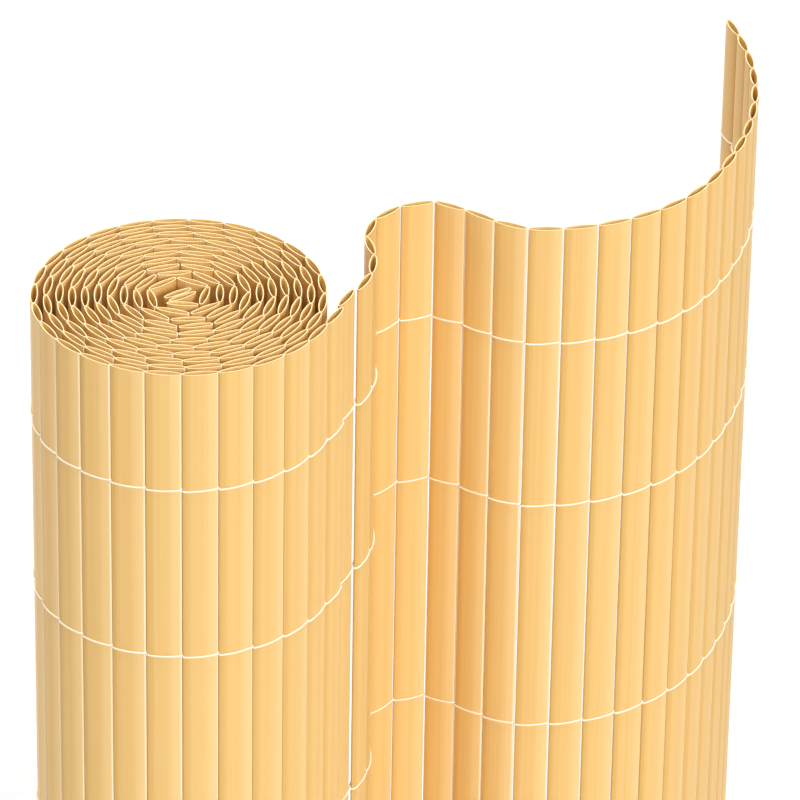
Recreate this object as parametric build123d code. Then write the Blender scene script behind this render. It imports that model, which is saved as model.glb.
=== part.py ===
"""PVC privacy screen: hollow slats bound into a mat with cord, part of it still rolled up, standing on end."""
import os
from math import asin, atan2, cos, degrees, pi, radians, sin, sqrt

from build123d import *

# One slat, in millimetres
screen_height = 900.0
slat_width = 15.4
slat_thickness = 2.9
slat_edge = 0.6
slat_wall = 0.66
slat_gap = 0.8

# The roll, from its core outwards
core_radius = 10.9
layer_pitch = 5.61
rolled_slats = 158
leave_angle = -20.0

# Two slats folded together in the core
core_fold = 140.0
core_room = 1.8
core_space = 0.6

# The free length: so many slats, each turned by so many degrees from the one before
free_bends = ((3, 2), (2, 18), (3, -29), (1, -44), (1, -9), (1, 12), (1, 26), (6, 10), (9, 5))

# One slat beside the roll has slipped back from the front of its row
slipped_slat = 1
slip = 2.0

# Binding cords: one row at half height, the others at these distances from both ends
cord_insets = (60.0, 148.0, 271.0)
cord_size = 0.8
cord_seat = 0.1

slat_pitch = slat_width + slat_gap
slat_rise = (slat_thickness - slat_edge) / 2
face_radius = ((slat_width / 2) ** 2 + slat_rise**2) / (2 * slat_rise)


def direction(angle):
    """Unit vector in the plan at an angle in radians."""
    return Vector(cos(angle), sin(angle))


def face_arc(half_width, half_edge, crown):
    """One bowed face of a slat or of its bore, drawn from right to left over its crown."""
    return ThreePointArc((half_width, half_edge), (0, crown), (-half_width, half_edge))


def make_slat():
    """One hollow slat, standing on the origin with its width along X."""
    half_width = slat_width / 2
    half_edge = slat_edge / 2
    crown = slat_thickness / 2
    front = face_arc(half_width, half_edge, crown)
    left = Line((-half_width, half_edge), (-half_width, -half_edge))
    back = face_arc(-half_width, -half_edge, -crown)
    right = Line((half_width, -half_edge), (half_width, half_edge))
    bore_half = half_width - slat_wall
    bore_crown = crown - slat_wall
    bore = make_face([face_arc(bore_half, 0, bore_crown), face_arc(-bore_half, 0, -bore_crown)])
    return extrude(make_face([front, left, back, right]) - bore, screen_height)


def roll_joints():
    """Radius and angle of every joint of the roll, from the core out, ending at the leaving angle."""
    radius = core_radius
    angle = 0.0
    joints = [(radius, angle)]
    for _ in range(rolled_slats):
        step = 2 * asin(slat_pitch / (2 * radius))
        step = 2 * asin(slat_pitch / (2 * radius + layer_pitch * step / (2 * pi)))
        angle += step
        radius += layer_pitch * step / (2 * pi)
        joints.append((radius, angle))
    turn = radians(leave_angle) - angle
    return [(radius, angle + turn) for radius, angle in joints]


def lay_roll(joints):
    """Place and heading of the rolled slats, one list for each turn, the outermost turn first."""
    last_angle = joints[-1][1]
    turns = []
    for inner, outer in zip(reversed(joints[:-1]), reversed(joints[1:])):
        start = inner[0] * direction(inner[1])
        end = outer[0] * direction(outer[1])
        run = end - start
        turn = int((last_angle - (inner[1] + outer[1]) / 2) / (2 * pi))
        if turn == len(turns):
            turns.append([])
        turns[turn].insert(0, ((start + end) / 2, atan2(run.Y, run.X)))
    return turns


def lay_core(joints, first_heading):
    """The two innermost slats, folded flat on each other inside the first turn."""
    heading = first_heading - radians(core_fold)
    start = joints[0][0] * direction(joints[0][1])
    outer = start - (slat_width / 2 + core_room) * direction(heading)
    inner = outer + (slat_thickness + core_space) * direction(heading - pi / 2)
    return [(inner, heading + pi), (outer, heading)]


def lay_free(start, heading):
    """The unrolled slats, from the roll to the free edge."""
    slats = []
    for count, bend in free_bends:
        for _ in range(count):
            heading += radians(bend)
            slats.append((start + slat_pitch / 2 * direction(heading), heading))
            start = start + slat_pitch * direction(heading)
    place, heading = slats[slipped_slat]
    slats[slipped_slat] = (place + slip * direction(heading + pi / 2), heading)
    return slats


def fall(run, out):
    """Slope of a run down from the plane square to the way out."""
    drop = -run.dot(out)
    return drop / sqrt(run.dot(run) - drop**2)


def cord_points(slats):
    """Points of a cord over the crowns of a row of slats to its free edge, each with the way out."""
    outs = [direction(heading - pi / 2) for place, heading in slats]
    crowns = [place + slat_thickness / 2 * out for (place, heading), out in zip(slats, outs)]
    edge = slat_width / 2 * direction(slats[-1][1]) - slat_rise * outs[-1]
    befores = [crowns[1], *crowns]
    afters = [*crowns[1:], crowns[-1] + edge]
    points = []
    for crown, out, before, after in zip(crowns, outs, befores, afters):
        slope = max(fall(before - crown, out), fall(after - crown, out), 0)
        points.append((crown + (cord_seat + face_radius * slope**2 / 2) * out, out))
    points.append((points[-1][0] + edge, outs[-1]))
    return points


def make_cord(slats):
    """One row of cord, a strip of square section over the front of the slats."""
    points = cord_points(slats)
    inside = [point for point, out in points]
    outside = [point + cord_size * out for point, out in points]
    return extrude(make_face(Polyline(*inside, *reversed(outside), close=True)), cord_size)


joints = roll_joints()
turns = lay_roll(joints)
turns[-1] = lay_core(joints, turns[-1][0][1]) + turns[-1]
free = lay_free(joints[-1][0] * direction(joints[-1][1]), turns[0][-1][1])

slat = make_slat()
cord = make_cord(turns[0] + free)
cord_heights = [screen_height - inset for inset in cord_insets]
cord_heights.append(screen_height / 2)
cord_heights.extend(reversed(cord_insets))

groups = {}
for number, turn in enumerate(reversed(turns), start=1):
    groups[f"roll_turn_{number:02d}"] = turn
for number, place in enumerate(free, start=1):
    groups[f"free_slat_{number:02d}"] = [place]

nodes = {}
for name, slats in groups.items():
    nodes[name] = [Pos(place) * Rot(0, 0, degrees(heading)) * slat for place, heading in slats]
for number, height in enumerate(cord_heights, start=1):
    nodes[f"binding_cord_{number}"] = [Pos(0, 0, height - cord_size / 2) * cord]

# The origin is at the middle of the footprint, at the height of the slats' lower ends
box = Compound([solid for solids in nodes.values() for solid in solids]).bounding_box()
to_origin = Pos(-box.center().X, -box.center().Y, 0)
os.makedirs("parts", exist_ok=True)
for name, solids in nodes.items():
    placed = Compound([to_origin * solid for solid in solids])
    export_step(placed, f"parts/{name}.step")

print("slats", sum(len(slats) for slats in groups.values()), "size", box.size)
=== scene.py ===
"""Looks of a pvc privacy screen: hollow slats bound side by side with twine, most of them rolled up."""
from cmath import phase, rect
from math import asin, pi, radians

import bpy
import numpy as np
from bpy.props import FloatProperty, FloatVectorProperty, IntProperty, PointerProperty
from mathutils import Matrix, Vector


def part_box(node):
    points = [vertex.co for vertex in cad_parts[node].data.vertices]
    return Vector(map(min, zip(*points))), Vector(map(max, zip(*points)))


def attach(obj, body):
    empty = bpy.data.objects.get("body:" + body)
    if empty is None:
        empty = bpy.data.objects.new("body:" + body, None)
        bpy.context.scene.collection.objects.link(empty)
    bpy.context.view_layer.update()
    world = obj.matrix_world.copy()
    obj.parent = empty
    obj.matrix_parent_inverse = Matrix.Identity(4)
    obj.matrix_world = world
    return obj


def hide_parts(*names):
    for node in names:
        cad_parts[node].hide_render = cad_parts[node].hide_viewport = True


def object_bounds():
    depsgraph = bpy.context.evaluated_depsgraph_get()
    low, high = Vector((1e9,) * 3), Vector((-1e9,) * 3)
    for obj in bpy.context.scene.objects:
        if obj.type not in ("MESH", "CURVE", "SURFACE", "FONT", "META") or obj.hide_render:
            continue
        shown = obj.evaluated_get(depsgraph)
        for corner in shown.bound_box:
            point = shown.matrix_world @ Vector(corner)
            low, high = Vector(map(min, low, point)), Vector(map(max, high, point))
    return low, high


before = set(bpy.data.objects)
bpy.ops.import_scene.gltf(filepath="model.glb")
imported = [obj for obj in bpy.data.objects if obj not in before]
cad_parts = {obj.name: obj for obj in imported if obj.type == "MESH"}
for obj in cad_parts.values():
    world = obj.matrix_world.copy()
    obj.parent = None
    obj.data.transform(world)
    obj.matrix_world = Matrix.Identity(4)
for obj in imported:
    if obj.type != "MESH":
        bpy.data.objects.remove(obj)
cad_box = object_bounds()

bl_info = {
    "name": "Privacy screen",
    "version": (1, 0, 0),
    "blender": (4, 5, 0),
    "location": "View3D > Sidebar > Screen",
    "description": "Hollow slats bound side by side with twine, most of them still rolled up",
    "category": "Add Mesh",
}

# The free length: so many slats, each turned by so many degrees from the one before
FREE_BENDS = ((3, 2), (2, 18), (3, -29), (1, -44), (1, -9), (1, 12), (1, 26), (6, 10), (9, 5))

# Number of the free slat that has slipped back from the front of its row
SLIPPED_SLAT = 2

# Numbers of the free slats with wide joints beside them, and of one that sits tight between its neighbours
OPEN_SLATS = (3, 7, 8, 9)
TIGHT_SLATS = (10,)

# Fineness of the meshes, and the angle from which an edge is shaded sharp
FACE_STEPS = 14
EDGE_STEPS = 6
TWINE_SIDES = 6
SHARP_ANGLE = radians(50)

# Share of a slat's strip of the map that its width takes up
MAP_SHARE = 0.9

# Guide points of a strand: room over crown, shoulder and edge, place of the shoulder, lift at a joint
CROWN_ROOM = 0.00012
SHOULDER_ROOM = 0.00008
EDGE_ROOM = 0.00018
SHOULDER_SHARE = 0.6
JOINT_LIFT = 0.0003

# Streaks of the extruder: how fast they change along a slat, and how many cross it
STREAK_STRETCH = 1.4
FINE_STREAKS = 34.0
BROAD_STREAKS = 6.0

# Slat faces: where painted shade at the inner edge, painted light at the outer edge and its painted
# highlight line fade in across a slat's strip of the map
PAINTED_SHADE_EDGE = (0.30, 0.06)
PAINTED_LIGHT_EDGE = (0.5, 0.9)
PAINTED_HIGHLIGHT_LINE = (0.92, 0.945)

# Slat faces: how far streaks, chance and painted shade at the inner edge darken them, and how far painted
# light and the painted highlight line at the outer edge lighten them
FINE_SHADE = 0.22
BROAD_SHADE = 0.12
CHANCE_SHADE = 0.10
PAINTED_EDGE_SHADE = 0.5
PAINTED_EDGE_LIGHT = 0.45
PAINTED_HIGHLIGHT = 0.8

# Reflection of the faces, and least roughness of each finish
FACE_SHEEN = 0.25
FACE_ROUGHNESS = 0.42
HOLLOW_ROUGHNESS = 0.55
CUT_ROUGHNESS = 0.5
TWINE_ROUGHNESS = 0.6
FLOOR_ROUGHNESS = 0.9

# Fineness of the grain in each finish
SLAT_GRAIN = 700.0
CUT_GRAIN = 1800.0
TWINE_GRAIN = 2600.0
FLOOR_GRAIN = 6.0

# Twist of the twine: plies round a strand, and lines that cross it in a metre
TWINE_PLIES = 2.0
TWINE_LINES = 900.0

# Lamps: name, setting of the power, size and place, all aimed at one height over the origin
LAMPS = (
    ("key_lamp", "key_power", 3.0, (4.0, -7.4, 4.45)),
    ("fill_lamp", "fill_power", 3.0, (-6.5, 0.8, 2.5)),
    ("top_lamp", "top_power", 5.0, (0.0, 0.75, 7.45)),
)
AIM_HEIGHT = 0.7

# Half the width of the floor, and how far the camera sees
FLOOR_REACH = 6.0
SIGHT = 50.0

WHITE = (1.0, 1.0, 1.0, 1.0)


def length(name, description, default):
    """A size in metres that a user may change."""
    return FloatProperty(name=name, description=description, default=default, unit="LENGTH", precision=5)


def angle(name, description, default):
    """An angle, given in degrees, that a user may change."""
    return FloatProperty(name=name, description=description, default=radians(default), subtype="ANGLE")


def lamp_power(name, description, default):
    """Power of a lamp in watts that a user may change."""
    return FloatProperty(name=name, description=description, default=default, unit="POWER")


def colour(name, description, default):
    """A colour that a user may change, in linear values."""
    return FloatVectorProperty(name=name, description=description, default=default, subtype="COLOR", size=4)


# Settings

class SlatSettings(bpy.types.PropertyGroup):
    """Section and colours of one slat."""

    height: length("Height", "Length of a slat from floor to top", cad_box[1].z - cad_box[0].z)
    width: length("Width", "Width of a slat from edge to edge", 0.0154)
    thickness: length("Thickness", "Thickness of a slat over its two crowns", 0.0036)
    edge: length("Edge", "Thickness of a slat where its faces run into the edge", 0.0014)
    wall: length("Wall", "Wall round the hollow", 0.00045)
    gap: length("Gap", "Open joint between two slats", 0.0008)
    free_gap: length("Free gap", "What shows of most joints of the free length", 0.00055)
    closed_gap: length("Closed gap", "What shows of a joint where the slats sit tight", 0.0001)
    core_gap: length("Core gap", "What shows of a joint at the folded core", 0.002)
    face_colour: colour("Face", "Colour of the slat's faces", (0.85, 0.55, 0.205, 1.0))
    # Colour of the real dark streaks, and of the painted shade along each slat's inner edge
    streak_and_painted_shade_colour: colour("Shade", "Colour of dark streaks and of the inner edge", (0.66, 0.38, 0.095, 1.0))
    # Painted light: each slat paler towards its outer edge
    painted_light_colour: colour("Light", "Colour towards the outer edge", (0.93, 0.67, 0.335, 1.0))
    # Painted highlight: a narrow pale line along each slat's outer edge
    painted_highlight_colour: colour("Rim", "Colour of the narrow pale line along the outer edge", (0.97, 0.84, 0.58, 1.0))
    hollow_colour: colour("Hollow", "Colour inside the slats", (0.92, 0.66, 0.26, 1.0))
    cut_colour: colour("Cut end", "Colour of the sawn ends", (0.92, 0.73, 0.42, 1.0))


class RollSettings(bpy.types.PropertyGroup):
    """The winding, from its core outwards."""

    count: IntProperty(name="Slats", description="Slats in the winding", default=158, min=20)
    core_radius: length("Core radius", "Distance of the first joint from the axis", 0.0109)
    layer_pitch: length("Layer pitch", "Distance from one turn to the next", 0.00561)
    leave_angle: angle("Leaving angle", "Where the free length leaves the roll", -20)
    core_fold: angle("Core fold", "Turn from the folded core to the first wound slat", 140)
    core_room: length("Core room", "Room between the folded core and the first wound slat", 0.002)
    core_space: length("Core space", "Space between the two folded slats", 0.0001)
    tight_turns: IntProperty(name="Tight turns", description="Outer turns with closed joints", default=7)
    slip: length("Slip", "How far the loose slat beside the roll has slipped back", 0.002)


class TwineSettings(bpy.types.PropertyGroup):
    """The two strands of each binding row."""

    diameter: length("Diameter", "Thickness of one strand", 0.0008)
    step: length("Step", "Half of the height between the two strands in a joint", 0.00045)
    colour: colour("Twine", "Colour of the twine", (0.97, 0.93, 0.80, 1.0))
    # Colour of the painted shade in the grooves between the plies, and of the twine's grain
    shade: colour("Twine shade", "Colour between the plies of the twine", (0.80, 0.69, 0.46, 1.0))


class StageSettings(bpy.types.PropertyGroup):
    """Floor, light and camera."""

    key_power: lamp_power("Key", "Power of the lamp in front", 545.0)
    fill_power: lamp_power("Fill", "Power of the lamp at the side", 90.0)
    top_power: lamp_power("Top", "Power of the lamp overhead", 560.0)
    sky: FloatProperty(name="Sky", description="Strength of the even light from all sides", default=0.34)
    floor_colour: colour("Floor", "Colour of the floor", (0.60, 0.60, 0.60, 1.0))
    floor_glow: FloatProperty(name="Floor glow", description="White added where it is seen", default=0.16)
    pitch: angle("Pitch", "How far the camera looks down", 32)
    tilt: angle("Tilt", "Turn of the camera about its own axis", 0.97)
    camera_place: FloatVectorProperty(
        name="Camera", description="Place of the camera from the foot of the roll's axis",
        default=(0.0976, -2.6623, 2.5099), subtype="TRANSLATION", unit="LENGTH")
    lens: FloatProperty(name="Lens", description="Focal length in millimetres", default=315.0)


class ScreenSettings(bpy.types.PropertyGroup):
    """All settings of the screen."""

    slat: PointerProperty(type=SlatSettings)
    roll: PointerProperty(type=RollSettings)
    twine: PointerProperty(type=TwineSettings)
    stage: PointerProperty(type=StageSettings)


# Layout of the slats in the plan, as complex numbers

def roll_joints(slat, roll):
    """Radius and angle of every joint of the roll, from the core out, ending at the leaving angle."""
    pitch = slat.width + slat.gap
    radius = roll.core_radius
    angle = 0.0
    joints = [(radius, angle)]
    for _ in range(roll.count):
        step = 2 * asin(pitch / (2 * radius))
        step = 2 * asin(pitch / (2 * radius + roll.layer_pitch * step / (2 * pi)))
        angle += step
        radius += roll.layer_pitch * step / (2 * pi)
        joints.append((radius, angle))
    turn = roll.leave_angle - angle
    return [(radius, angle + turn) for radius, angle in joints]


def lay_roll(joints):
    """The wound slats from the core out: CAD node, place and heading."""
    last_angle = joints[-1][1]
    slats = []
    for inner, outer in zip(joints, joints[1:]):
        start = rect(*inner)
        end = rect(*outer)
        turn = int((last_angle - (inner[1] + outer[1]) / 2) / (2 * pi))
        slats.append((turn, (start + end) / 2, phase(end - start)))
    turns = slats[0][0] + 1
    return [(f"roll_turn_{turns - turn:02d}", place, heading) for turn, place, heading in slats]


def lay_core(joints, first_heading, slat, roll):
    """The two innermost slats, folded flat on each other inside the first turn."""
    heading = first_heading - roll.core_fold
    outer = rect(*joints[0]) - rect(slat.width / 2 + roll.core_room, heading)
    inner = outer + rect(slat.thickness + roll.core_space, heading - pi / 2)
    return [("roll_turn_01", inner, heading + pi), ("roll_turn_01", outer, heading)]


def lay_free(start, heading, slat, roll):
    """The unrolled slats, from the roll to the free edge."""
    pitch = slat.width + slat.gap
    slats = []
    for count, bend in FREE_BENDS:
        for _ in range(count):
            heading += radians(bend)
            slats.append((f"free_slat_{len(slats) + 1:02d}", start + rect(pitch / 2, heading), heading))
            start += rect(pitch, heading)
    name, place, heading = slats[SLIPPED_SLAT - 1]
    slats[SLIPPED_SLAT - 1] = (name, place + rect(roll.slip, heading + pi / 2), heading)
    return slats


def lay_screen(settings):
    """Every slat from the core to the free edge and the axis of the roll, in the frame of the CAD nodes."""
    slat = settings.slat
    roll = settings.roll
    joints = roll_joints(slat, roll)
    rolled = lay_roll(joints)
    core = lay_core(joints, rolled[0][2], slat, roll)
    free = lay_free(rect(*joints[-1]), rolled[-1][2], slat, roll)
    name, place, heading = free[-1]
    low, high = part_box(name)
    axis = complex(*((low + high) / 2).xy) - place
    return [(name, place + axis, heading) for name, place, heading in core + rolled + free], axis


# Meshes

def lens_section(half_width, crown, half_edge, rounding):
    """Points round a slat's section: two bowed faces that run into rounded edges."""
    rise = crown - half_edge
    radius = (half_width**2 + rise**2) / (2 * rise)
    flank = half_width - rounding
    face_x = np.linspace(flank, -flank, FACE_STEPS + 1)
    face_y = crown - radius + np.sqrt(radius**2 - face_x**2)
    turn = np.linspace(0, pi, EDGE_STEPS + 1)[1:-1]
    edge_x = -flank - rounding * np.sin(turn)
    edge_y = face_y[-1] * np.cos(turn)
    half = np.column_stack([np.append(face_x, edge_x), np.append(face_y, edge_y)])
    return np.vstack([half, -half])


def slat_rings(slat, width):
    """Outline and hollow of a slat's section."""
    half_width = width / 2
    crown = slat.thickness / 2
    outline = lens_section(half_width, crown, slat.edge / 2, slat.edge / 2)
    hollow_edge = (slat.edge - slat.wall) / 2
    hollow = lens_section(half_width - slat.wall, crown - slat.wall, hollow_edge, hollow_edge)
    return outline, hollow


def slat_faces(count):
    """Faces of one slat between its four rings, and the slot of the material of each."""
    here = np.arange(count)
    after = np.roll(here, -1)
    foot, hollow_foot, top, hollow_top = (here + ring * count for ring in range(4))
    foot_next, hollow_foot_next, top_next, hollow_top_next = (after + ring * count for ring in range(4))
    quads = [
        np.column_stack([foot, foot_next, top_next, top]),
        np.column_stack([hollow_foot, hollow_top, hollow_top_next, hollow_foot_next]),
        np.column_stack([top, top_next, hollow_top_next, hollow_top]),
        np.column_stack([foot_next, foot, hollow_foot, hollow_foot_next]),
    ]
    return np.vstack(quads), np.repeat([0, 1, 2, 2], count)


def new_piece(name, points, faces, spread, materials, slots=None):
    """A smooth mesh piece on the frame's only body, with one map point for each vertex."""
    mesh = bpy.data.meshes.new(name)
    mesh.from_pydata(points.tolist(), [], faces.tolist())
    for material in materials:
        mesh.materials.append(material)
    corners = np.zeros(len(mesh.loops), dtype=np.int32)
    mesh.loops.foreach_get("vertex_index", corners)
    layer = mesh.uv_layers.new(name="spread")
    layer.data.foreach_set("uv", spread[corners].astype(np.float32).ravel())
    if slots is not None:
        mesh.polygons.foreach_set("material_index", slots.astype(np.int32))
    mesh.shade_smooth()
    mesh.set_sharp_from_angle(angle=SHARP_ANGLE)
    if mesh.validate():
        raise RuntimeError(f"{name} has a faulty mesh")
    piece = bpy.data.objects.new(name, mesh)
    bpy.context.scene.collection.objects.link(piece)
    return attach(piece, "root")


def build_slats(name, node, places, settings, materials, gap):
    """One piece with the slats of one CAD node, with joints that look this wide."""
    slat = settings.slat
    outline, hollow = slat_rings(slat, slat.width + slat.gap - gap)
    count = len(outline)
    section = np.vstack([outline, hollow, outline, hollow])
    height = np.repeat([0.0, slat.height], 2 * count)
    one_faces, one_slots = slat_faces(count)
    points = []
    faces = []
    spread = []
    for number, (place, heading, order) in enumerate(places):
        turned = (section[:, 0] - 1j * section[:, 1]) * rect(1, heading) + place
        points.append(np.column_stack([turned.real, turned.imag, height]))
        faces.append(one_faces[:, ::-1] + number * len(section))
        across = order + 0.5 + MAP_SHARE * section[:, 0] / slat.width
        spread.append(np.column_stack([across, height]))
    slots = np.tile(one_slots, len(places))
    piece = new_piece(name, np.vstack(points), np.vstack(faces), np.vstack(spread), materials, slots)
    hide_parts(node)
    return piece


def strand_route(slats, side, height, settings):
    """Guide points of one strand: over a slat, down through the joint and behind the next slat."""
    slat = settings.slat
    twine = settings.twine
    half = slat.width / 2
    bow = lens_section(half, slat.thickness / 2, slat.edge / 2, slat.edge / 2)[: FACE_STEPS + 1]
    rest = twine.diameter / 2
    reach = half + slat.gap / 2
    flank = SHOULDER_SHARE * half
    crown = slat.thickness / 2 + rest + CROWN_ROOM
    shoulder = np.interp(flank, bow[::-1, 0], bow[::-1, 1]) + rest + SHOULDER_ROOM
    edge = slat.edge / 2 + rest + EDGE_ROOM
    over = ((-half, edge), (-flank, shoulder), (0, crown), (flank, shoulder), (half, edge))
    ends = [place + rect(reach, heading) for name, place, heading in slats]
    starts = [place - rect(reach, heading) for name, place, heading in slats]
    starts.append(ends[-1])
    route = []
    for number, (name, place, heading) in enumerate(slats):
        along = rect(1, heading)
        out = rect(side, heading - pi / 2)
        for across, lift in over:
            point = place + across * along + lift * out
            route.append((point.real, point.imag, height + side * twine.step * across / reach))
        joint = (ends[number] + starts[number + 1]) / 2
        for lift in (JOINT_LIFT, -JOINT_LIFT):
            point = joint + lift * out
            route.append((point.real, point.imag, height + side * twine.step))
        side = -side
    return route


def smooth_line(route):
    """Points along the smooth spline that has these guide points."""
    data = bpy.data.curves.new("strand_line", "CURVE")
    data.dimensions = "3D"
    data.resolution_u = 2
    spline = data.splines.new("NURBS")
    spline.points.add(len(route) - 1)
    spline.points.foreach_set("co", np.column_stack([route, np.ones(len(route))]).ravel())
    spline.order_u = 3
    spline.use_endpoint_u = True
    line = bpy.data.objects.new("strand_line", data)
    bpy.context.scene.collection.objects.link(line)
    mesh = bpy.data.meshes.new_from_object(line)
    points = np.array([vertex.co for vertex in mesh.vertices])
    bpy.data.objects.remove(line)
    bpy.data.curves.remove(data)
    bpy.data.meshes.remove(mesh)
    return points


def sweep(points, radius):
    """A closed round strand along a line: vertices, side faces, end faces and map points."""
    run = np.gradient(points, axis=0)
    run /= np.linalg.norm(run, axis=1)[:, None]
    side = np.cross(run, (0, 0, 1))
    side /= np.linalg.norm(side, axis=1)[:, None]
    rise = np.cross(side, run)
    turn = np.arange(TWINE_SIDES) * 2 * pi / TWINE_SIDES
    ring = np.cos(turn)[None, :, None] * side[:, None, :] + np.sin(turn)[None, :, None] * rise[:, None, :]
    vertices = (points[:, None, :] + radius * ring).reshape(-1, 3)
    travel = np.append(0, np.cumsum(np.linalg.norm(np.diff(points, axis=0), axis=1)))
    spread = np.column_stack([np.tile(turn / (2 * pi), len(points)), np.repeat(travel, TWINE_SIDES)])
    here = np.arange(TWINE_SIDES)
    after = np.roll(here, -1)
    quad = np.column_stack([here, here + TWINE_SIDES, after + TWINE_SIDES, after])
    starts = np.arange(len(points) - 1) * TWINE_SIDES
    sides = (starts[:, None, None] + quad[None]).reshape(-1, 4)
    last = len(vertices) - TWINE_SIDES
    ends = [here.tolist(), (last + here[::-1]).tolist()]
    return vertices, sides, ends, spread


# Materials

class NodeTree:
    """Short calls for placing and joining nodes."""

    def __init__(self, tree):
        self.tree = tree

    def add(self, kind, settings=None, **inputs):
        """A node with its settings, and its inputs joined or set by name."""
        node = self.tree.nodes.new(kind)
        for name, value in (settings or {}).items():
            setattr(node, name, value)
        for name, value in inputs.items():
            self.feed(node.inputs[name.replace("_", " ")], value)
        return node

    def feed(self, socket, value):
        """A value or another node's output into a socket."""
        if isinstance(value, bpy.types.NodeSocket):
            self.tree.links.new(value, socket)
        else:
            socket.default_value = value

    def math(self, operation, *values, clamp=False):
        """The result of a sum."""
        node = self.tree.nodes.new("ShaderNodeMath")
        node.operation = operation
        node.use_clamp = clamp
        for socket, value in zip(node.inputs, values):
            self.feed(socket, value)
        return node.outputs[0]

    def mix(self, factor, first, second):
        """Two colours mixed by a mask."""
        node = self.tree.nodes.new("ShaderNodeMix")
        node.data_type = "RGBA"
        self.feed(node.inputs["Factor"], factor)
        self.feed(node.inputs["A"], first)
        self.feed(node.inputs["B"], second)
        return node.outputs["Result"]

    def ramp(self, value, low, high, to_low=0.0, to_high=1.0):
        """A value taken smoothly from one range to another."""
        node = self.add("ShaderNodeMapRange", {"interpolation_type": "SMOOTHSTEP"})
        for name, number in zip(("Value", "From Min", "From Max", "To Min", "To Max"),
                                (value, low, high, to_low, to_high)):
            self.feed(node.inputs[name], number)
        return node.outputs["Result"]


def new_group(name, inputs, outputs):
    """An empty node group with value sockets, its input node and its output node."""
    tree = bpy.data.node_groups.new(name, "ShaderNodeTree")
    for label, default in inputs:
        socket = tree.interface.new_socket(label, in_out="INPUT", socket_type="NodeSocketFloat")
        socket.default_value = default
    for label in outputs:
        tree.interface.new_socket(label, in_out="OUTPUT", socket_type="NodeSocketFloat")
    nodes = NodeTree(tree)
    return nodes, nodes.add("NodeGroupInput"), nodes.add("NodeGroupOutput")


def streaks_group():
    """Streaks of the extruder along a slat: a fine mask and a broad one."""
    inputs = [("Across", 0.0), ("Along", 0.0), ("Density", FINE_STREAKS)]
    nodes, given, put = new_group("Extruded streaks", inputs, ["Fine", "Broad"])
    stretch = nodes.math("MULTIPLY", given.outputs["Along"], STREAK_STRETCH)
    narrow = nodes.math("MULTIPLY", given.outputs["Across"], given.outputs["Density"])
    fine_place = nodes.add("ShaderNodeCombineXYZ", None, X=narrow, Y=stretch)
    fine = nodes.add("ShaderNodeTexNoise", None, Vector=fine_place.outputs[0], Scale=1.0, Detail=1.0)
    wide = nodes.math("MULTIPLY", given.outputs["Across"], BROAD_STREAKS)
    broad_place = nodes.add("ShaderNodeCombineXYZ", None, X=wide, Y=stretch, Z=4.0)
    broad = nodes.add("ShaderNodeTexNoise", None, Vector=broad_place.outputs[0], Scale=1.0, Detail=2.0)
    nodes.feed(put.inputs["Fine"], nodes.ramp(fine.outputs["Fac"], 0.30, 0.70))
    nodes.feed(put.inputs["Broad"], nodes.ramp(broad.outputs["Fac"], 0.30, 0.70))
    return nodes.tree


def grain_group():
    """Fine grain of sawn or drawn plastic, as a mask."""
    nodes, given, put = new_group("Plastic grain", [("Scale", 900.0)], ["Mask"])
    place = nodes.add("ShaderNodeTexCoord")
    noise = nodes.add("ShaderNodeTexNoise", None, Vector=place.outputs["Object"],
                      Scale=given.outputs["Scale"], Detail=3.0)
    nodes.feed(put.inputs["Mask"], nodes.ramp(noise.outputs["Fac"], 0.32, 0.68))
    return nodes.tree


def new_material(name):
    """A material with its tree and its principled shader."""
    material = bpy.data.materials.new(name)
    material.use_nodes = True
    nodes = NodeTree(material.node_tree)
    return material, nodes, material.node_tree.nodes["Principled BSDF"]


def group_node(nodes, tree, **inputs):
    """A node group placed in a material."""
    return nodes.add("ShaderNodeGroup", {"node_tree": tree}, **inputs)


def spread_sockets(nodes):
    """The piece's map point as two values."""
    place = nodes.add("ShaderNodeUVMap", {"uv_map": "spread"})
    parts = nodes.add("ShaderNodeSeparateXYZ", None, Vector=place.outputs[0])
    return parts.outputs["X"], parts.outputs["Y"]


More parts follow.
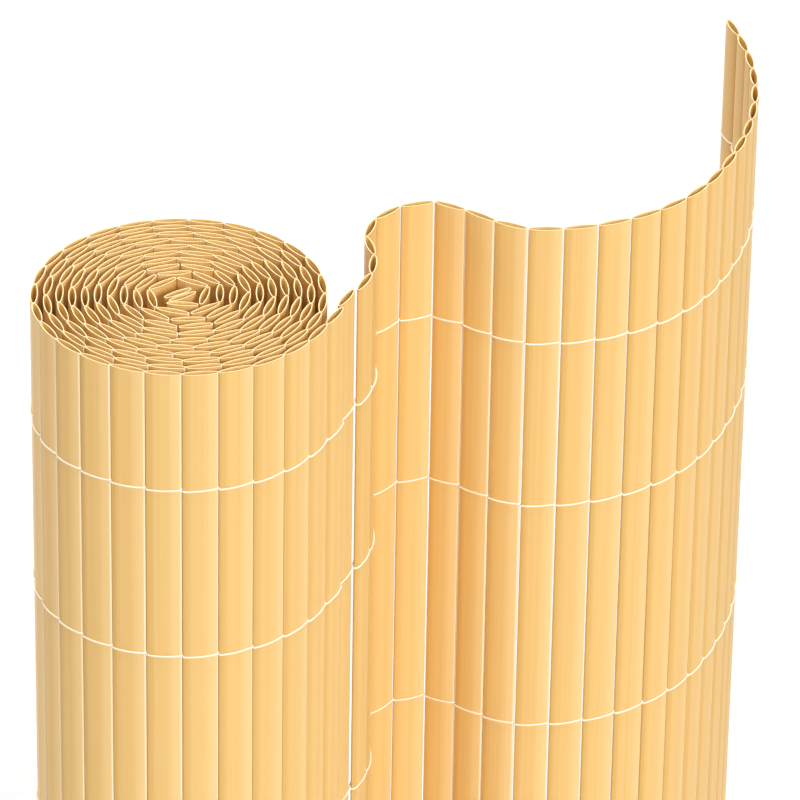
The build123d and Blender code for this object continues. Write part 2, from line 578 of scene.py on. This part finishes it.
def face_material(slat, streaks, grain):
    """Satin extruded pvc: streaked along the slat, different from slat to slat, with painted shade at one
    edge and painted light and a painted highlight line at the other.
    """
    material, nodes, shader = new_material("slat_face")
    across, along = spread_sockets(nodes)
    lines = group_node(nodes, streaks, Across=across, Along=along)
    dots = group_node(nodes, grain, Scale=SLAT_GRAIN)
    order = nodes.math("FLOOR", across)
    chance = nodes.add("ShaderNodeTexWhiteNoise", {"noise_dimensions": "1D"}, W=order)
    share = nodes.math("FRACT", across)
    darker = nodes.math("MULTIPLY", lines.outputs["Fine"], FINE_SHADE)
    darker = nodes.math("MULTIPLY_ADD", lines.outputs["Broad"], BROAD_SHADE, darker)
    darker = nodes.math("MULTIPLY_ADD", chance.outputs["Value"], CHANCE_SHADE, darker)
    # Painted shade: each slat darker towards its inner edge
    painted_shade = nodes.ramp(share, *PAINTED_SHADE_EDGE)
    darker = nodes.math("MULTIPLY_ADD", painted_shade, PAINTED_EDGE_SHADE, darker, clamp=True)
    tint = nodes.mix(darker, slat.face_colour, slat.streak_and_painted_shade_colour)
    # Painted light: paler towards the outer edge
    tint = nodes.mix(nodes.ramp(share, *PAINTED_LIGHT_EDGE, 0.0, PAINTED_EDGE_LIGHT), tint, slat.painted_light_colour)
    # Painted highlight: a narrow pale line along the outer edge
    tint = nodes.mix(nodes.ramp(share, *PAINTED_HIGHLIGHT_LINE, 0.0, PAINTED_HIGHLIGHT), tint, slat.painted_highlight_colour)
    nodes.feed(shader.inputs["Base Color"], tint)
    rough = nodes.math("MULTIPLY_ADD", lines.outputs["Fine"], 0.10, FACE_ROUGHNESS)
    rough = nodes.math("MULTIPLY_ADD", dots.outputs["Mask"], 0.05, rough)
    nodes.feed(shader.inputs["Roughness"], rough)
    shader.inputs["Specular IOR Level"].default_value = FACE_SHEEN
    relief = nodes.math("MULTIPLY_ADD", lines.outputs["Broad"], 1.5, lines.outputs["Fine"])
    relief = nodes.math("MULTIPLY_ADD", dots.outputs["Mask"], 0.15, relief)
    bump = nodes.add("ShaderNodeBump", None, Strength=0.35, Distance=0.00004, Height=relief)
    nodes.feed(shader.inputs["Normal"], bump.outputs["Normal"])
    return material


def hollow_material(slat, streaks, grain):
    """Inside of a slat: even and matt, with faint streaks."""
    material, nodes, shader = new_material("slat_hollow")
    across, along = spread_sockets(nodes)
    lines = group_node(nodes, streaks, Across=across, Along=along)
    dots = group_node(nodes, grain, Scale=SLAT_GRAIN)
    darker = nodes.math("MULTIPLY", lines.outputs["Broad"], 0.2)
    darker = nodes.math("MULTIPLY_ADD", dots.outputs["Mask"], 0.08, darker)
    nodes.feed(shader.inputs["Base Color"], nodes.mix(darker, slat.hollow_colour, slat.streak_and_painted_shade_colour))
    rough = nodes.math("MULTIPLY_ADD", lines.outputs["Fine"], 0.1, HOLLOW_ROUGHNESS)
    nodes.feed(shader.inputs["Roughness"], rough)
    return material


def cut_material(slat, grain):
    """Sawn end of a slat: paler and rougher than its faces."""
    material, nodes, shader = new_material("slat_cut_end")
    dots = group_node(nodes, grain, Scale=CUT_GRAIN)
    tint = nodes.mix(nodes.math("MULTIPLY", dots.outputs["Mask"], 0.25), slat.cut_colour, slat.face_colour)
    nodes.feed(shader.inputs["Base Color"], tint)
    rough = nodes.math("MULTIPLY_ADD", dots.outputs["Mask"], 0.15, CUT_ROUGHNESS)
    nodes.feed(shader.inputs["Roughness"], rough)
    bump = nodes.add("ShaderNodeBump", None, Strength=0.3, Distance=0.00005, Height=dots.outputs["Mask"])
    nodes.feed(shader.inputs["Normal"], bump.outputs["Normal"])
    return material


def twine_material(twine, grain):
    """Twisted yarn: painted shade in the grooves between the plies, as darker lines that wind round the
    strand, over a faint grain.
    """
    material, nodes, shader = new_material("binding_twine")
    around, along = spread_sockets(nodes)
    wind = nodes.math("MULTIPLY_ADD", along, TWINE_LINES, nodes.math("MULTIPLY", around, TWINE_PLIES))
    ply = nodes.math("ABSOLUTE", nodes.math("SINE", nodes.math("MULTIPLY", wind, pi)))
    # Painted shade in the grooves between the plies
    painted_groove_shade = nodes.ramp(ply, 0.55, 0.0)
    fuzz = group_node(nodes, grain, Scale=TWINE_GRAIN)
    shade = nodes.math("MULTIPLY_ADD", fuzz.outputs["Mask"], 0.12, nodes.math("MULTIPLY", painted_groove_shade, 0.55))
    nodes.feed(shader.inputs["Base Color"], nodes.mix(shade, twine.colour, twine.shade))
    rough = nodes.math("MULTIPLY_ADD", fuzz.outputs["Mask"], 0.15, TWINE_ROUGHNESS)
    nodes.feed(shader.inputs["Roughness"], rough)
    bump = nodes.add("ShaderNodeBump", None, Strength=0.6, Distance=0.0001, Height=ply)
    nodes.feed(shader.inputs["Normal"], bump.outputs["Normal"])
    return material


def seen_mask(nodes):
    """One where the background is seen, straight or in a reflection, and zero where it lights the screen."""
    path = nodes.add("ShaderNodeLightPath")
    seen = nodes.math("MAXIMUM", path.outputs["Is Camera Ray"], path.outputs["Is Glossy Ray"])
    return nodes.math("MAXIMUM", seen, path.outputs["Is Transmission Ray"])


def floor_material(stage, grain):
    """Plain pale floor that keeps the shadow and meets a white background."""
    material, nodes, shader = new_material("pale_floor")
    dots = group_node(nodes, grain, Scale=FLOOR_GRAIN)
    speck = nodes.math("MULTIPLY", dots.outputs["Mask"], 0.02)
    tint = nodes.mix(speck, stage.floor_colour, (0.5, 0.5, 0.5, 1.0))
    nodes.feed(shader.inputs["Base Color"], tint)
    shader.inputs["Roughness"].default_value = FLOOR_ROUGHNESS
    shader.inputs["Emission Color"].default_value = WHITE
    glow = nodes.math("MULTIPLY", seen_mask(nodes), stage.floor_glow)
    nodes.feed(shader.inputs["Emission Strength"], glow)
    return material


def shared_tree(name, build):
    """A node group made on its first use."""
    return bpy.data.node_groups.get(name) or build()


def slat_materials(settings):
    """The three finishes of a slat, made on their first use: faces, hollow and cut ends."""
    found = [bpy.data.materials.get(name) for name in ("slat_face", "slat_hollow", "slat_cut_end")]
    if all(found):
        return found
    streaks = shared_tree("Extruded streaks", streaks_group)
    grain = shared_tree("Plastic grain", grain_group)
    return [
        face_material(settings.slat, streaks, grain),
        hollow_material(settings.slat, streaks, grain),
        cut_material(settings.slat, grain),
    ]


# Operators

def slats_of(settings, prefix):
    """The slats of each CAD node with this prefix: place, heading and number in the row."""
    groups = {}
    slats, _ = lay_screen(settings)
    for order, (name, place, heading) in enumerate(slats):
        if name.startswith(prefix):
            groups.setdefault(name, []).append((place, heading, order))
    return groups


class SCREEN_OT_rolled_slats(bpy.types.Operator):
    """Add the slats of the roll, one piece for each turn"""

    bl_idname = "screen.rolled_slats"
    bl_label = "Rolled Slats"

    def execute(self, context):
        settings = context.scene.privacy_screen
        slat = settings.slat
        tight = settings.roll.tight_turns
        materials = slat_materials(settings)
        groups = slats_of(settings, "roll_turn_")
        open_turns = len(groups) - tight - 1
        gaps = [slat.core_gap] + [slat.gap] * open_turns + [slat.closed_gap] * tight
        for (node, places), gap in zip(groups.items(), gaps):
            name = node.replace("roll_turn", "rolled_slats")
            build_slats(name, node, places, settings, materials, gap)
        return {"FINISHED"}


class SCREEN_OT_free_slats(bpy.types.Operator):
    """Add the slats of the free length, each a piece of its own"""

    bl_idname = "screen.free_slats"
    bl_label = "Free Slats"

    def execute(self, context):
        settings = context.scene.privacy_screen
        slat = settings.slat
        gaps = dict.fromkeys(OPEN_SLATS, slat.gap) | dict.fromkeys(TIGHT_SLATS, slat.closed_gap)
        materials = slat_materials(settings)
        for number, (node, places) in enumerate(slats_of(settings, "free_slat_").items(), start=1):
            name = node.replace("free_slat", "loose_slat")
            build_slats(name, node, places, settings, materials, gaps.get(number, slat.free_gap))
        return {"FINISHED"}


class SCREEN_OT_binding_twine(bpy.types.Operator):
    """Add the rows of twine, each with two strands that cross in every joint"""

    bl_idname = "screen.binding_twine"
    bl_label = "Binding Twine"

    def execute(self, context):
        settings = context.scene.privacy_screen
        grain = shared_tree("Plastic grain", grain_group)
        material = twine_material(settings.twine, grain)
        slats, _ = lay_screen(settings)
        rows = [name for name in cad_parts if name.startswith("binding_cord_")]
        for node in sorted(rows):
            low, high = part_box(node)
            self.build_row(node, slats, (low.z + high.z) / 2, settings, material)
        return {"FINISHED"}

    def build_row(self, node, slats, height, settings, material):
        """One row of two strands in place of its CAD node."""
        points = []
        faces = []
        spread = []
        total = 0
        for side in (1, -1):
            line = smooth_line(strand_route(slats, side, height, settings))
            vertices, sides, ends, places = sweep(line, settings.twine.diameter / 2)
            points.append(vertices)
            spread.append(places)
            faces.extend((sides + total).tolist())
            faces.extend([[corner + total for corner in end] for end in ends])
            total += len(vertices)
        name = node.replace("binding_cord", "twine_row")
        faces = np.array(faces, dtype=object)
        piece = new_piece(name, np.vstack(points), faces, np.vstack(spread), [material])
        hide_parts(node)


class SCREEN_OT_stage(bpy.types.Operator):
    """Add the floor, the light and the camera"""

    bl_idname = "screen.stage"
    bl_label = "Stage"

    def execute(self, context):
        settings = context.scene.privacy_screen
        stage = settings.stage
        _, axis = lay_screen(settings)
        self.build_floor(context, stage)
        self.build_sky(context, stage)
        for name, power, size, place in LAMPS:
            self.build_lamp(context, name, getattr(stage, power), size, place)
        self.build_camera(context, stage, Vector((axis.real, axis.imag, 0.0)))
        context.scene.view_settings.view_transform = "Standard"
        return {"FINISHED"}

    def build_floor(self, context, stage):
        """A wide floor under the slats' lower ends."""
        ways = ((-1, -1), (1, -1), (1, 1), (-1, 1))
        corners = [(FLOOR_REACH * x, FLOOR_REACH * y, 0.0) for x, y in ways]
        mesh = bpy.data.meshes.new("floor")
        mesh.from_pydata(corners, [], [(0, 1, 2, 3)])
        mesh.materials.append(floor_material(stage, shared_tree("Plastic grain", grain_group)))
        floor = bpy.data.objects.new("floor", mesh)
        context.scene.collection.objects.link(floor)

    def build_sky(self, context, stage):
        """Even light from all sides that the camera sees as white."""
        world = bpy.data.worlds.new("studio")
        world.use_nodes = True
        nodes = NodeTree(world.node_tree)
        back = world.node_tree.nodes["Background"]
        back.inputs["Color"].default_value = WHITE
        brighter = nodes.math("MULTIPLY", seen_mask(nodes), 1.0 - stage.sky)
        nodes.feed(back.inputs["Strength"], nodes.math("ADD", brighter, stage.sky))
        context.scene.world = world

    def build_lamp(self, context, name, power, size, place):
        """A square soft lamp that points at the middle of the screen."""
        data = bpy.data.lights.new(name, "AREA")
        data.energy = power
        data.size = size
        lamp = bpy.data.objects.new(name, data)
        lamp.location = place
        aim = Vector((0.0, 0.0, AIM_HEIGHT)) - lamp.location
        lamp.rotation_euler = aim.to_track_quat("-Z", "Y").to_euler()
        context.scene.collection.objects.link(lamp)

    def build_camera(self, context, stage, axis):
        """The camera at the photograph's angle, set by the axis of the roll."""
        data = bpy.data.cameras.new("camera")
        data.lens = stage.lens
        data.clip_end = SIGHT
        camera = bpy.data.objects.new("camera", data)
        down = Matrix.Rotation(pi / 2 - stage.pitch, 4, "X")
        tilt = Matrix.Rotation(stage.tilt, 4, "Z")
        camera.matrix_world = Matrix.Translation(axis + Vector(stage.camera_place)) @ down @ tilt
        context.scene.collection.objects.link(camera)
        context.scene.camera = camera


class SCREEN_PT_parts(bpy.types.Panel):
    """Settings and parts of the privacy screen"""

    bl_idname = "SCREEN_PT_parts"
    bl_label = "Privacy Screen"
    bl_space_type = "VIEW_3D"
    bl_region_type = "UI"
    bl_category = "Screen"

    def draw(self, context):
        settings = context.scene.privacy_screen
        for group in (settings.slat, settings.roll, settings.twine, settings.stage):
            box = self.layout.box()
            for name in group.bl_rna.properties.keys():
                if name not in {"rna_type", "name"}:
                    box.prop(group, name)
        for operator in OPERATORS:
            self.layout.operator(operator.bl_idname)


OPERATORS = (SCREEN_OT_rolled_slats, SCREEN_OT_free_slats, SCREEN_OT_binding_twine, SCREEN_OT_stage)
SETTINGS = (SlatSettings, RollSettings, TwineSettings, StageSettings, ScreenSettings)


def register():
    """Add the classes and the settings to Blender."""
    for item in SETTINGS + OPERATORS + (SCREEN_PT_parts,):
        bpy.utils.register_class(item)
    bpy.types.Scene.privacy_screen = PointerProperty(type=ScreenSettings)


def unregister():
    """Take the settings and the classes out again."""
    del bpy.types.Scene.privacy_screen
    for item in reversed(SETTINGS + OPERATORS + (SCREEN_PT_parts,)):
        bpy.utils.unregister_class(item)


def main():
    """Build the screen and its stage."""
    register()
    bpy.ops.screen.rolled_slats()
    bpy.ops.screen.free_slats()
    bpy.ops.screen.binding_twine()
    bpy.ops.screen.stage()


if __name__ == "__main__":
    main()
